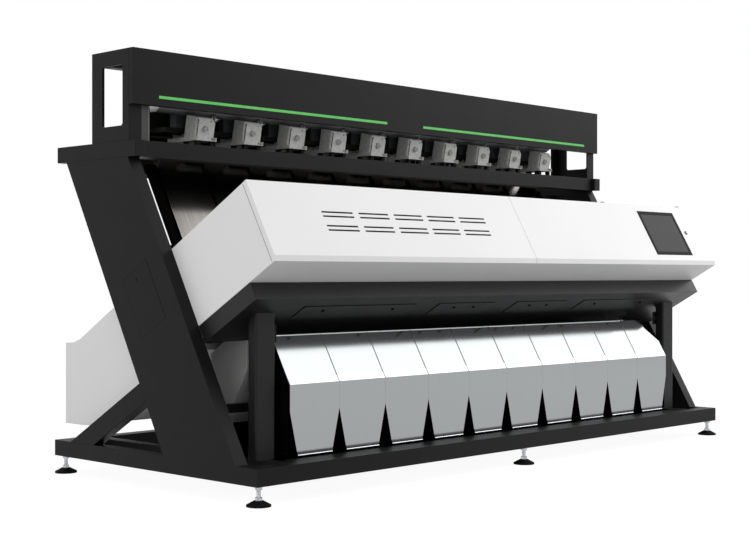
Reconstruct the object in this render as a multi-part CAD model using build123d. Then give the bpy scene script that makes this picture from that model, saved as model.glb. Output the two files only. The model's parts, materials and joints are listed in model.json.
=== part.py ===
from build123d import *
import os
from math import cos, radians, sin, tan

# Ten-chute optical rice sorter. Millimetres, +Z up, X along the machine, front towards -Y.
# Heights are above the floor. Depths are first written from the middle of the base, and
# every piece is moved by one shift at the end, so that the origin is the middle of the
# floor area under the whole machine.

# Chutes and overall frame
chute_count = 10
chute_pitch = 320.0
chute_angle = 60.5
base_length = 3874.0
base_depth = 1580.0
fit_gap = 0.3

# Base frame
base_bottom = 90.0
rail_height = 80.0
side_rail_width = 60.0
front_rail_depth = 80.0
tube_wall = 4.0
cross_member_width = 60.0
cross_member_x = 640.0
sill_depth = 150.0
sill_thickness = 4.0
sill_return = 20.0

# Levelling feet
foot_inset_x = 42.0
foot_inset_y = 38.0
pad_diameter = 112.0
pad_height = 26.0
pad_rim = 8.0
pad_boss_diameter = 44.0
stud_diameter = 20.0
stud_hex = 30.0
stud_hex_height = 14.0
nut_hex = 30.0
nut_height = 16.0
stud_reach = 30.0
stud_clearance = 0.3

# Side legs, measured along the chute direction (up) and square to it (forward)
leg_foot_y = -645.0
leg_width = 457.0
leg_thickness = 70.0
leg_wall = 4.0
door_low = 815.0
door_high = 1130.0
door_inset = 121.0
door_thickness = 3.0
door_gap = 0.8
door_return = 14.0
door_pin_inset = 5.0
door_pin_diameter = 5.0
door_pin_reach = 4.8
door_lug = 6.0
door_hinge_gap = 2.6
lock_diameter = 16.0
lock_drop = 52.0
lock_recess = 1.0
lock_reach = 14.0
lock_cam_sheet = 4.0
lock_cam_length = 66.0

# Rear braces
brace_low = 538.0
brace_high = 638.0
brace_thickness = 60.0

# Front posts
post_inset = 172.0
post_width = 119.0
post_front_y = -585.0
post_depth = 60.0
post_corner = 12.0

# Upper frame
upper_bottom = 1593.0
upper_front_y = 97.0
upper_back_y = 767.0
upper_rail_front_y = 125.0
upper_rail_depth = 115.0

# Hood
hood_height = 447.0
hood_front_y = 118.0
hood_back_y = 459.0
fascia_depth = 32.0
fascia_height = 273.0
fascia_sheet = 3.0
hood_end_thickness = 74.0
window_front_y = 203.0
window_back_y = 372.0
window_sill = 75.0
window_head = 75.0
window_corner = 15.0
window_return = 12.0
hood_rear_rail_depth = 60.0
hood_rear_rail_height = 63.0
duct_width = 47.0
duct_depth = 40.0
light_rise = 44.0
light_height = 14.0
light_inner_x = 155.0
light_inset = 157.0
light_proud = 2.0

# Feed hopper
hopper_length = 3280.0
hopper_sheet = 3.0
hopper_slope_height = 110.0
hopper_slot_front_y = 330.0
hopper_slot_back_y = 376.0
hopper_above_tray = 98.0
spout_width = 150.0
spout_above_tray = 23.0
clamp_width = 34.0
clamp_forward = 21.6
clamp_height = 26.0
clamp_sheet = 4.0

# Feeders
drive_offset = 27.0
drive_front_y = 200.0
drive_depth = 88.0
drive_width = 126.0
drive_lean = 11.3
drive_height = 153.0
drive_chamfer = 22.0
drive_plate = 5.0
drive_plate_margin = 5.0
magnet_width = 84.0
magnet_height = 50.0
magnet_air_gap = 3.0
knob_diameter = 32.0
knob_height = 15.0
knob_flats = 8
knob_offset = 3.0
knob_drop = 58.0
bed_back_y = 330.0
bed_sheet = 5.0
mount_width = 132.0
mount_height = 20.0
mount_sheet = 2.5
mount_back_y = 443.0
foot_rubber_width = 22.0
foot_rubber_height = 35.0
foot_rubber_front_y = 224.0
foot_rubber_back_y = 312.0
foot_rubber_spread = 46.0
spring_thickness = 2.0
spring_width = 90.0
spring_clip = 10.0
spring_places_y = (345.0, 425.0)
tray_width = 288.0
tray_front_y = 322.0
tray_back_y = 452.0
tray_height = 79.0
tray_sheet = 3.0
tray_wall = 24.0
tray_stroke = 1.0

# Chutes
chute_back = 208.0
chute_low = 1092.0
chute_above = 310.1
chute_sheet = 4.0
chute_lip = 12.0
chute_rib_width = 30.0
chute_rib_height = 20.0
chute_clear = 1.0
chute_rail_size = 40.0
chute_rail_low = 1240.0
chute_rail_above = 65.1

# Front optical box
box_low = 704.0
box_high = 1118.0
box_front = 618.0
box_back = -150.0
box_sheet = 3.0
cover_depth = 28.0
cover_bevel_rise = 24.0
cover_bevel_run = 12.0
cover_split_x = 18.0
cover_gap = 3.0
cover_sheet = 2.5
vent_inset = 499.7
vent_pitch = 245.0
vent_count = 5
vent_length = 206.0
vent_height = 9.0
vent_rows = (964.0, 941.0, 889.0, 866.0)
screen_inset = 431.2
screen_width = 391.0
screen_high = 1068.0
screen_low = 770.0
screen_depth = 24.0
screen_bezel = 16.0
screen_recess = 1.5
screen_proud = 2.0
button_inset = 181.7
button_a = 928.0
button_diameter = 19.0
button_collar_width = 28.0
button_proud = 5.0
button_length = 26.0
button_edge = 1.5
latch_insets = (946.7, 121.7)
latch_length = 26.0
latch_height = 9.0
latch_depth = 10.0

# Ejector beam under the front box
beam_low = 617.0
beam_front = 415.0
beam_back = 0.0
beam_sheet = 4.0
hatch_front = 80.0
hatch_depth = 118.0
hatch_thickness = 4.0
hatch_outer = (725.0, 1505.0)
hatch_inner = (95.0, 550.0)

# Outlets
outlet_front_y = -634.0
outlet_bend_z = 511.0
outlet_taper_z = 385.0
outlet_bottom = 178.0
outlet_mouth = 222.0
outlet_top_slope = 60.0
outlet_top_length = 258.0
outlet_sheet = 2.0
outlet_back_y = -430.0
outlet_hem = 22.0
outlet_hem_proud = 1.2
outlet_top_hem = 10.0
outlet_seam = 0.5
outlet_notch_width = 92.0
outlet_notch_low = 601.0
outlet_notch_high = 683.0
bank_rail_size = 40.0
bank_rail_z = 380.0
bracket_low = 705.0
bracket_high = 785.0
bracket_y = -540.0
bracket_sheet = 4.0
bracket_reach = 46.0

# Trough that catches the falling grain behind the outlets
trough_front_y = -330.0
trough_back_y = -60.0
trough_top = 722.0
trough_knee_z = 569.0
trough_bottom = 300.0
trough_taper = 0.567
trough_corner_y = -200.0
trough_corner_z = 630.0
trough_sheet = 2.0

# Rear optical box
rear_high = 1100.0
rear_front = -262.0
rear_corner_b = -885.0
rear_shelf_y = 740.0
rear_shelf_z = 667.0
rear_back_y = 797.0
rear_bottom_z = 250.0
rear_sheet = 3.0
rear_door_depth = 40.0

# Inside the optical boxes
glass_low = 760.0
glass_high = 1060.0
glass_thickness = 6.0
glass_margin = 110.0
glass_seat = 15.0
camera_length = 150.0
camera_size = 80.0
camera_hood = 56.0
camera_hood_length = 40.0
camera_hood_wall = 3.0
camera_hood_depth = 25.0
camera_a = 912.0
camera_b = 330.0
rear_camera_b = -720.0
camera_shelf = 4.0
shelf_overhang = 20.0
hinge_knuckle = 10.0
hinge_pin = 5.0
hinge_leaf = 2.0
hinge_leaf_width = 15.0
hinge_end = 40.0
hinge_inset = 60.0
hinge_running_gap = 0.5
hinge_bore_gap = 0.05
lamp_diameter = 26.0
lamp_low = 785.0
lamp_high = 1035.0
lamp_offset = 60.0
block_width = 300.0
block_height = 40.0
block_depth = 90.0
block_back = -190.0
nozzle_count = 8
nozzle_width = 28.0
nozzle_height = 3.0
nozzle_depth = 12.0
wiper_width = 46.0
wiper_depth = 16.0
wiper_clear = 2.0
wiper_park = 30.0
wiper_rail_diameter = 8.0
wiper_rail_margin = 22.0
wiper_overhang = 14.0


# Derived places shared by several pieces
base_top = base_bottom + rail_height
half_length = base_length / 2
half_depth = base_depth / 2
leg_inner_x = half_length - leg_thickness
bank_half = chute_count * chute_pitch / 2
box_half = leg_inner_x - fit_gap
slope = radians(chute_angle)
upper_top = upper_bottom + rail_height
chute_centres = [(i - (chute_count - 1) / 2) * chute_pitch for i in range(chute_count)]
end_rail_inner_x = half_length - side_rail_width
post_outer_x = half_length - post_inset
leg_slant = (upper_bottom - base_top) / sin(slope)
chute_high = leg_slant + chute_above
chute_rail_high = leg_slant + chute_rail_above
hood_top = upper_top + hood_height
fascia_bottom = hood_top - fascia_height
window_bottom = upper_top + window_sill
window_top = hood_top - window_head
hood_rear_rail_bottom = hood_top - hood_rear_rail_height
light_z = fascia_bottom + light_rise
light_outer_x = half_length - light_inset
tray_bottom = upper_top + tray_height
spout_bottom = tray_bottom + spout_above_tray
hopper_bottom = tray_bottom + hopper_above_tray
hopper_knee_z = hopper_bottom + hopper_slope_height
drive_top = upper_top + drive_height
screen_x = box_half - screen_inset
button_x = box_half - button_inset


def at(up, forward):
    # A point of the side view, from its distance up the chute direction and forward of the legs' front
    y = leg_foot_y + up * cos(slope) - forward * sin(slope)
    z = base_top + up * sin(slope) + forward * cos(slope)
    return (y, z)


front_reach = min(at(box_low + cover_bevel_rise, box_front)[0], at(box_low, box_front - cover_bevel_run)[0])
frame_shift = -(front_reach + rear_back_y) / 2


def prism(points, x0, x1, inset=0.0):
    # A solid with a side-view outline, between two places along the machine
    face = make_face(Polyline(*points, close=True))
    if inset:
        face = offset(face, -inset, kind=Kind.INTERSECTION)
    return extrude(Plane.YZ.offset(min(x0, x1) + inset) * face, amount=abs(x1 - x0) - 2 * inset)


def shell(points, wall, x0, x1):
    # A closed sheet box with a side-view outline
    return prism(points, x0, x1) - prism(points, x0, x1, wall)


def slab(low, high, back, front, x0, x1):
    # A block that lies along the chute direction
    return prism([at(low, back), at(high, back), at(high, front), at(low, front)], x0, x1)


def block(x0, x1, y0, y1, z0, z1):
    return Pos((x0 + x1) / 2, (y0 + y1) / 2, (z0 + z1) / 2) * Box(abs(x1 - x0), abs(y1 - y0), abs(z1 - z0))


def rod(x, y, z, diameter, height):
    # An upright cylinder that stands on a height
    return Pos(x, y, z + height / 2) * Cylinder(diameter / 2, height)


def rod_x(x0, x1, y, z, diameter):
    return Pos((x0 + x1) / 2, y, z) * Rot(0, 90, 0) * Cylinder(diameter / 2, abs(x1 - x0))


def face_plane(x, up, forward):
    # A plane on a surface that faces forward, square to the chute direction; its own y runs up the slope
    y, z = at(up, forward)
    return Plane(origin=(x, y, z), x_dir=(1, 0, 0), z_dir=(0, -sin(slope), cos(slope)))


def tube_x(x0, x1, y0, y1, z0, z1, wall):
    outer = block(x0, x1, y0, y1, z0, z1)
    return outer - block(x0 - 1, x1 + 1, y0 + wall, y1 - wall, z0 + wall, z1 - wall)


def tube_y(x0, x1, y0, y1, z0, z1, wall):
    # A rectangular tube along Y with closed ends
    low, high = min(x0, x1), max(x0, x1)
    inside = block(low + wall, high - wall, y0 + wall, y1 - wall, z0 + wall, z1 - wall)
    return block(x0, x1, y0, y1, z0, z1) - inside


# Base frame
def base_side_rail(side):
    return tube_y(side * end_rail_inner_x, side * half_length, -half_depth, half_depth, base_bottom, base_top,
                  tube_wall)


def base_cross_rail(y0, y1):
    reach = end_rail_inner_x - fit_gap
    return tube_x(-reach, reach, y0, y1, base_bottom, base_top, tube_wall)


def base_cross_members():
    # The outer pair stands under the posts; the inner pair is lower, under the sill plate
    y0 = -half_depth + front_rail_depth + fit_gap
    y1 = half_depth - front_rail_depth - fit_gap
    half = cross_member_width / 2
    under_post = post_outer_x - post_width / 2
    places = ((under_post, base_top), (cross_member_x, base_top - sill_return))
    return [tube_y(side * x - half, side * x + half, y0, y1, base_bottom, top, tube_wall)
            for side in (-1, 1) for x, top in places]


def base_sill_plate():
    # Folded plate that covers the gap between the front rail and the outlets
    y0 = -half_depth + front_rail_depth + fit_gap
    y1 = -half_depth + sill_depth
    reach = post_outer_x - post_width - fit_gap
    plate = block(-reach, reach, y0, y1, base_top - sill_thickness, base_top)
    lip = block(-reach, reach, y1 - sill_thickness, y1, base_top - sill_return, base_top)
    hook = block(-reach, reach, y0, y0 + sill_thickness, base_top - sill_return, base_top)
    return plate + lip + hook


# Levelling feet
foot_places = [(x, y) for x in (-half_length + foot_inset_x, 0.0, half_length - foot_inset_x)
               for y in (-half_depth + foot_inset_y, half_depth - foot_inset_y)]


def foot_pad(x, y):
    # A turned disc with a domed top and a boss around the stud's ball end
    outline = [(0, 0), (pad_diameter / 2, 0), (pad_diameter / 2, pad_rim), (pad_boss_diameter / 2,
                                                                            pad_height), (0, pad_height)]
    disc = revolve(Plane.XZ * make_face(Polyline(*outline, close=True)), Axis.Z)
    return Pos(x, y, 0) * disc


def foot_stud(x, y):
    shank = rod(x, y, pad_height, stud_diameter, base_bottom + stud_reach - pad_height)
    flats = extrude(RegularPolygon(stud_hex / 2, 6, major_radius=False), amount=stud_hex_height)
    return shank + Pos(x, y, pad_height) * flats


def foot_nut(x, y):
    # Lock nut under the rail, with running room round the stud
    ring = RegularPolygon(nut_hex / 2, 6, major_radius=False) - Circle(stud_diameter / 2 + stud_clearance)
    return Pos(x, y, base_bottom - nut_height) * extrude(ring, amount=nut_height)


def stud_holes():
    reach = base_bottom + stud_reach
    return [rod(x, y, base_bottom - 1, stud_diameter + 2 * stud_clearance, reach - base_bottom + 2)
            for x, y in foot_places]


# Slanted side legs
leg_across = leg_width / sin(slope)
door_front_b = -door_inset
door_back_b = -(leg_width - door_inset)


leg_run = (upper_bottom - base_top) / tan(slope)
leg_outline = [(leg_foot_y, base_top), (leg_foot_y + leg_across, base_top),
               (leg_foot_y + leg_run + leg_across, upper_bottom), (leg_foot_y + leg_run, upper_bottom)]
door_pin_x = half_length - door_pin_inset
door_pin_b = door_front_b - door_pin_inset


def door_pin(side, low, high, diameter):
    # A cylinder on the door's hinge line, which runs up the slope
    y, z = at(low, door_pin_b)
    line = Plane(origin=(side * door_pin_x, y, z), x_dir=(1, 0, 0), z_dir=(0, cos(slope), sin(slope)))
    return extrude(line * Circle(diameter / 2), amount=high - low)


def side_leg(side):
    # Hollow leg with a doorway and two lugs for the door's hinge pins
    body = shell(leg_outline, leg_wall, side * leg_inner_x, side * half_length)
    body -= slab(door_low - door_gap, door_high + door_gap, door_back_b - door_gap,
                 door_front_b + door_hinge_gap, side * (half_length - leg_wall - 1),
                 side * (half_length + 1))
    for low, high in ((door_low - door_gap - door_lug, door_low - door_gap),
                      (door_high + door_gap, door_high + door_gap + door_lug)):
        body += slab(low, high, door_pin_b - 2 * door_pin_inset, door_front_b + door_hinge_gap,
                     side * (half_length - door_return), side * (half_length - leg_wall))
    return body - door_pin(side, door_low - 2 * door_lug, door_high + 2 * door_lug,
                           door_pin_diameter + 2 * hinge_bore_gap)


def leg_door(side):
    # Folded tray that closes the doorway flush with the leg, with a round lock
    outer_x = side * half_length
    inner_x = side * (half_length - door_return)
    tray = slab(door_low, door_high, door_back_b, door_front_b, inner_x, outer_x)
    t = door_thickness
    hollow = slab(door_low + t, door_high - t, door_back_b + t, door_front_b - t, inner_x - side,
                  side * (half_length - t))
    y, z = at(door_high - lock_drop, (door_front_b + door_back_b) / 2)
    lock_hole = rod_x(side * (half_length - door_return), side * (half_length + 1), y, z, lock_diameter)
    pins = (door_pin(side, door_low - door_pin_reach, door_low + t, door_pin_diameter)
            + door_pin(side, door_high - t, door_high + door_pin_reach, door_pin_diameter))
    return tray - hollow - lock_hole + pins


def leg_lock(side):
    # Cam lock in the door: a barrel with a slot, just under the surface
    y, z = at(door_high - lock_drop, (door_front_b + door_back_b) / 2)
    inner = half_length - leg_wall - lock_reach
    barrel = rod_x(side * inner, side * (half_length - lock_recess), y, z, lock_diameter - 2 * fit_gap)
    key_slot = block(side * (half_length - 3 * lock_recess), side * half_length, y - lock_recess,
                     y + lock_recess, z - lock_diameter / 3, z + lock_diameter / 3)
    turn = Pos(side * (inner - lock_cam_sheet / 2), y, z) * Rot(chute_angle - 90, 0, 0)
    cam = turn * Pos(0, 0, lock_cam_length / 2 - lock_diameter / 2) * Box(lock_cam_sheet, lock_diameter,
                                                                          lock_cam_length)
    return barrel - key_slot + cam


def brace(side):
    # Flat-sided strut, square to the leg, from its back edge down to the base
    back_edge = -leg_width
    low_b = -brace_low * tan(slope)
    high_b = -brace_high * tan(slope)
    outline = [at(brace_low, back_edge), at(brace_high, back_edge), at(brace_high, high_b), at(brace_low,
                                                                                               low_b)]
    inner_x = half_length - brace_thickness
    return prism(outline, side * inner_x, side * half_length)


def front_post(side):
    # Rounded rectangular tube, cut off at the top by the slanted underside of the ejector beam
    inner_x = post_outer_x - post_width
    centre_x = side * (post_outer_x + inner_x) / 2
    height = upper_bottom - base_top
    ring = RectangleRounded(post_width, post_depth, post_corner)
    hole = RectangleRounded(post_width - 2 * tube_wall, post_depth - 2 * tube_wall, post_corner - tube_wall)
    tube = Pos(centre_x, post_front_y + post_depth / 2, base_top) * extrude(ring - hole, amount=height)
    above = slab(beam_low, 2 * box_high, -2 * box_front, 2 * box_front, -half_length, half_length)
    return tube - above


# Upper frame
def upper_side_beam(side):
    return tube_y(side * end_rail_inner_x, side * half_length, upper_front_y, upper_back_y, upper_bottom,
                  upper_top, tube_wall)


def upper_front_rail():
    # Rail with a ledge behind it that carries the feeders
    reach = end_rail_inner_x - fit_gap
    rail_back = upper_rail_front_y + upper_rail_depth
    rail = tube_x(-reach, reach, upper_rail_front_y, rail_back, upper_bottom, upper_top, tube_wall)
    ledge = block(-reach, reach, rail_back, bed_back_y, upper_top - bed_sheet, upper_top)
    return rail + ledge


def upper_rear_rail():
    reach = end_rail_inner_x - fit_gap
    return tube_x(-reach, reach, upper_back_y - side_rail_width, upper_back_y, upper_bottom, upper_top,
                  tube_wall)


# Hood
hood_end_front_y = hood_front_y + fascia_depth + fit_gap


def window_prism(side, margin, low, high):
    # The window's rounded outline, between two distances in from the machine's end
    wide = window_back_y - window_front_y + 2 * margin
    tall = window_top - window_bottom + 2 * margin
    middle = Pos((window_front_y + window_back_y) / 2, (window_bottom + window_top) / 2)
    start = min(side * (half_length - low), side * (half_length - high))
    outline = Plane.YZ.offset(start) * middle * RectangleRounded(wide, tall, window_corner + margin)
    return extrude(outline, amount=high - low)


def hood_end(side):
    # Folded end panel, open on its inner side, with a short return round its window
    t = fascia_sheet
    inner_x = half_length - hood_end_thickness
    outer = block(side * inner_x, side * half_length, hood_end_front_y, hood_back_y, upper_top, hood_top)
    cavity = block(side * (inner_x - 1), side * (half_length - t), hood_end_front_y + t, hood_back_y - t,
                   upper_top + t, hood_top - t)
    panel = outer - cavity + window_prism(side, t, 0, window_return)
    return panel - window_prism(side, 0, -1, window_return + 1)


def hood_fascia():
    # Folded front panel, open at the back
    outer = block(-half_length, half_length, hood_front_y, hood_front_y + fascia_depth, fascia_bottom,
                  hood_top)
    t = fascia_sheet
    hollow = block(-half_length + t, half_length - t, hood_front_y + t, hood_front_y + fascia_depth + 1,
                   fascia_bottom + t, hood_top - t)
    return outer - hollow


def hood_rear_rail():
    reach = half_length - hood_end_thickness - fit_gap
    return tube_x(-reach, reach, hood_back_y - hood_rear_rail_depth, hood_back_y, hood_rear_rail_bottom,
                  hood_top, tube_wall)


def light_strip(side):
    return block(side * light_inner_x, side * light_outer_x, hood_front_y - light_proud, hood_front_y,
                 light_z - light_height / 2, light_z + light_height / 2)


def cable_duct():
    # Upright duct behind the left end of the fascia
    x0 = -half_length + hood_end_thickness + fit_gap
    return block(x0, x0 + duct_width, hood_end_front_y, hood_end_front_y + duct_depth, upper_top,
                 fascia_bottom)


# Feed hopper
hopper_front_y = hood_end_front_y
hopper_back_y = hood_back_y - hood_rear_rail_depth - fit_gap


def feed_hopper():
    # Open bin with a sloping floor, a bottom plate and one spout over each tray
    half = hopper_length / 2
    t = hopper_sheet
    outline = [(hopper_front_y, hood_top), (hopper_front_y, hopper_knee_z), (hopper_slot_front_y,
                                                                             hopper_bottom),
                                                                             (hopper_slot_back_y,
                                                                              hopper_bottom),
                                                                              (hopper_back_y,
                                                                               hopper_knee_z),
                                                                               (hopper_back_y, hood_top)]
    mouth = block(-half + t, half - t, hopper_front_y + t, hopper_back_y - t, hood_top - 2 * t, hood_top + 1)
    body = shell(outline, t, -half, half) - mouth
    y0, y1 = hopper_slot_front_y, hopper_slot_back_y
    for x in chute_centres:
        x0, x1 = x - spout_width / 2, x + spout_width / 2
        body += block(x0, x1, y0, y1, spout_bottom, hopper_bottom)
        body -= block(x0 + t, x1 - t, y0 + t, y1 - t, spout_bottom - 1, hopper_bottom + 2 * t)
    return body


def hopper_clamp(x):
    # Angle bracket on the hopper's sloping front wall, between two feeders
    slant = (hopper_knee_z - hopper_bottom) / (hopper_slot_front_y - hopper_front_y)
    y = hopper_slot_front_y - clamp_forward
    z = hopper_bottom + clamp_forward * slant
    foot = block(x - clamp_width / 2, x + clamp_width / 2, y - clamp_height, y,
                 z - clamp_height - clamp_sheet, z - clamp_height)
    web = block(x - clamp_width / 2, x + clamp_width / 2, y - clamp_sheet, y,
                z - clamp_height - clamp_sheet, z)
    return foot + web


# Feeders
mount_floor = upper_top + foot_rubber_height + mount_sheet
lean = radians(drive_lean)


def drive_plane(x, back=0.0):
    # The leaning front face of a drive housing; its own y runs up the face
    origin = (x, drive_front_y + back * cos(lean), drive_top + back * sin(lean))
    return Plane(origin=origin, x_dir=(1, 0, 0), z_dir=(0, -cos(lean), -sin(lean)))


def drive_outline(margin=0.0):
    # Rectangle with a cut top right corner, long enough to be cut off level at the foot
    half = drive_width / 2 - margin
    long_side = (drive_top - mount_floor) / cos(lean) + drive_depth * sin(lean)
    return make_face(Polyline((-half, -long_side), (half, -long_side), (half, -margin - drive_chamfer),
                              (half - drive_chamfer, -margin), (-half, -margin), close=True))


def feeder_drive(x):
    # Housing with a raised front plate and the magnet's pole towards the tray
    housing = extrude(drive_plane(x, drive_plate) * drive_outline(), amount=-(drive_depth - drive_plate))
    plate = extrude(drive_plane(x) * drive_outline(drive_plate_margin), amount=-drive_plate)
    pole_top = tray_bottom + tray_wall + magnet_height / 2
    pole = block(x - magnet_width / 2, x + magnet_width / 2, drive_front_y + drive_depth - drive_plate,
                 tray_front_y - tray_stroke - magnet_air_gap, pole_top - magnet_height, pole_top)
    body = housing + plate + pole
    low = drive_width + drive_depth
    return body - block(x - low, x + low, 0, 2 * tray_back_y, mount_floor - low, mount_floor)


def feeder_knob(x):
    # Adjusting knob that sits on the front plate, with flats for a spanner
    flats = RegularPolygon(knob_diameter / 2, knob_flats, major_radius=False)
    return extrude(drive_plane(x) * Pos(0, -knob_drop) * flats, amount=knob_height)


def feeder_mount(x):
    # Folded channel under the drive and the tray
    low = mount_floor - mount_sheet
    half = mount_width / 2
    outer = block(x - half, x + half, drive_front_y + mount_sheet, mount_back_y, low, low + mount_height)
    t = mount_sheet
    return outer - block(x - half + t, x + half - t, drive_front_y, mount_back_y + 1, low + t,
                         low + mount_height + 1)


def feeder_feet(x):
    half = foot_rubber_width / 2
    return [block(x + dx - half, x + dx + half, y - half, y + half, upper_top, upper_top + foot_rubber_height)
            for dx in (-foot_rubber_spread, foot_rubber_spread)
            for y in (foot_rubber_front_y, foot_rubber_back_y)]


def feeder_spring(x, y):
    # Leaf spring under the tray, clamped to the channel by a foot
    leaf = block(x - spring_width / 2, x + spring_width / 2, y, y + spring_thickness, mount_floor,
                 tray_bottom - fit_gap)
    clip = block(x - spring_width / 2, x + spring_width / 2, y, y + spring_clip, mount_floor,
                 mount_floor + spring_thickness)
    return leaf + clip


def feeder_tray(x):
    # Open pan with a front wall and two side walls; grain leaves over its back edge
    half = tray_width / 2
    t = tray_sheet
    pan = block(x - half, x + half, tray_front_y, tray_back_y, tray_bottom, tray_bottom + tray_wall)
    hollow = block(x - half + t, x + half - t, tray_front_y + t, tray_back_y + 1, tray_bottom + t,
                   tray_bottom + tray_wall + 1)
    return pan - hollow


# Chutes
def chute(x):
    # Straight slide with side lips and two stiffening ribs behind
    half = chute_pitch / 2 - chute_clear / 2
    back = -chute_back - chute_sheet
    sheet = slab(chute_low, chute_high, back, -chute_back, x - half, x + half)
    for edge in (-1, 1):
        sheet += slab(chute_low, chute_high, -chute_back, -chute_back + chute_lip, x + edge * half,
                      x + edge * (half - chute_sheet / 2))
        rib_x = x + edge * (half - chute_pitch / 4)
        sheet += slab(chute_low + chute_lip, chute_high - chute_lip, back - chute_rib_height, back,
                      rib_x - chute_rib_width / 2, rib_x + chute_rib_width / 2)
    return sheet


def chute_rail(up):
    front = -chute_back - chute_sheet - chute_rib_height - fit_gap
    return slab(up, up + chute_rail_size, front - chute_rail_size, front, -box_half, box_half)


# Front optical box
cover_back = box_front - cover_depth
hinge_up = box_high + hinge_knuckle / 2 + hinge_running_gap


def front_housing():
    # Sheet box, open at the front behind the covers, with a long window towards the chutes
    outer = slab(box_low, box_high, box_back, cover_back - fit_gap, -box_half, box_half)
    t = box_sheet
    inside = slab(box_low + t, box_high - t, box_back + t, cover_back + 1, -box_half + t, box_half - t)
    view = slab(glass_low, glass_high, box_back - 1, box_back + t + 1, -box_half + glass_margin,
                box_half - glass_margin)
    return outer - inside - view


cover_outline = [at(box_low, cover_back), at(box_low, box_front - cover_bevel_run),
                 at(box_low + cover_bevel_rise, box_front), at(box_high, box_front), at(box_high, cover_back)]


def vent_slots():
    cuts = []
    for i in range(vent_count):
        for up in vent_rows:
            middle = -box_half + vent_inset + i * vent_pitch
            cuts.append(slab(up - vent_height / 2, up + vent_height / 2, box_front - 2 * cover_sheet,
                             box_front + 1, middle - vent_length / 2, middle + vent_length / 2))
    return cuts


def door_knuckle(x0, x1, y, z):
    # The long barrel of a door's hinge, between the two fixed knuckles
    low = x0 + hinge_inset + hinge_end + hinge_running_gap
    high = x1 - hinge_inset - hinge_end - hinge_running_gap
    barrel = rod_x(low, high, y, z, hinge_knuckle)
    return barrel, rod_x(low - 1, high + 1, y, z, hinge_pin + 2 * hinge_bore_gap), low, high


def fixed_hinge(x0, x1, y, z, leaf, stub):
    # The fixed half of a door's hinge: a leaf, a knuckle at each end and the pin through them
    body = leaf
    for low in (x0 + hinge_inset, x1 - hinge_inset - hinge_end):
        body += stub(low, low + hinge_end) + rod_x(low, low + hinge_end, y, z, hinge_knuckle)
    return body + rod_x(x0 + hinge_inset, x1 - hinge_inset, y, z, hinge_pin)


def front_cover(x0, x1):
    t = cover_sheet
    tray = shell(cover_outline, t, x0, x1)
    tray -= slab(box_low + t, box_high - t, cover_back - 1, cover_back + 2 * t, x0 + t, x1 - t)
    y, z = at(hinge_up, cover_back)
    barrel, bore, low, high = door_knuckle(x0, x1, y, z)
    leaf = slab(box_high, box_high + hinge_leaf, cover_back + hinge_running_gap,
                cover_back + hinge_leaf_width, low, high)
    return tray + leaf + barrel - bore


def front_cover_left():
    return front_cover(-box_half, cover_split_x - cover_gap / 2) - vent_slots()


def screen_cut(gap=0.0):
    half = screen_width / 2 + gap
    return slab(screen_low - gap, screen_high + gap, box_front - screen_depth, box_front + screen_proud,
                screen_x - half, screen_x + half)


def collar_bore(diameter, low, high):
    plane = face_plane(button_x, button_a, low)
    return extrude(plane * Circle(diameter / 2), amount=high - low)


def front_cover_right():
    cover = front_cover(cover_split_x + cover_gap / 2, box_half)
    bore = collar_bore(button_diameter + 2 * cover_sheet, box_front - 2 * cover_sheet, box_front + 1)
    return cover - screen_cut(fit_gap) - bore


def touch_screen():
    # Screen housing with a bezel round the recessed display
    shell = screen_cut()
    half = screen_width / 2 - screen_bezel
    display = slab(screen_low + screen_bezel, screen_high - screen_bezel,
                   box_front + screen_proud - screen_recess, box_front + screen_proud + 1,
                   screen_x - half, screen_x + half)
    return shell - display


def button_collar():
    # Flanged sleeve that guides the button
    flange = collar_bore(button_collar_width, box_front, box_front + cover_sheet)
    sleeve = collar_bore(button_diameter + 2 * cover_sheet - 2 * fit_gap, box_front - button_length,
                         box_front)
    bore = collar_bore(button_diameter + 2 * hinge_bore_gap, box_front - button_length - 1,
                       box_front + cover_sheet + 1)
    return flange + sleeve - bore


def power_button():
    # Plunger that the finger pushes into the collar
    front = box_front + cover_sheet + button_proud
    body = collar_bore(button_diameter, front - button_length, front)
    edge = body.edges().filter_by(GeomType.CIRCLE).sort_by(Axis.Z)[-1]
    return chamfer(edge, button_edge)


def cover_latch(x):
    # Small catch on the top edge of the right cover
    return slab(box_high, box_high + latch_height, box_front - latch_depth - cover_sheet,
                box_front - cover_sheet, x - latch_length / 2, x + latch_length / 2)


def front_hinge(x0, x1):
    # Fixed half on top of the housing
    def strip(low, high, gap):
        return slab(box_high, box_high + hinge_leaf, cover_back - hinge_leaf_width, cover_back - gap, low,
                    high)

    leaf = strip(x0 + hinge_inset, x1 - hinge_inset, hinge_knuckle / 2)
    y, z = at(hinge_up, cover_back)
    return fixed_hinge(x0, x1, y, z, leaf, lambda low, high: strip(low, high, hinge_running_gap))


# Ejector beam
def ejector_beam():
    t = beam_sheet
    outer = slab(beam_low, box_low - fit_gap, beam_back, beam_front, -box_half, box_half)
    return outer - slab(beam_low + t, box_low - fit_gap - t, beam_back + t, beam_front - t, -box_half + t,
                        box_half - t)


def ejector_hatch(x0, x1):
    # Cover plate under the beam
    front = beam_front - hatch_front
    return slab(beam_low - hatch_thickness, beam_low, front - hatch_depth, front, x0, x1)


# Ejector blocks, one for each chute, under the front box
def ejector_block(x):
    half = block_width / 2
    high = box_low - fit_gap
    block_low = high - block_height
    back = block_back
    body = slab(block_low, high, back, back + block_depth, x - half, x + half)
    pitch = block_width / (nozzle_count + 1)
    middle = (block_low + high) / 2
    for i in range(nozzle_count):
        centre = x - half + (i + 1) * pitch
        body -= slab(middle - nozzle_height / 2, middle + nozzle_height / 2, back - 1, back + nozzle_depth,
                     centre - nozzle_width / 2, centre + nozzle_width / 2)
    return body


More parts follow.
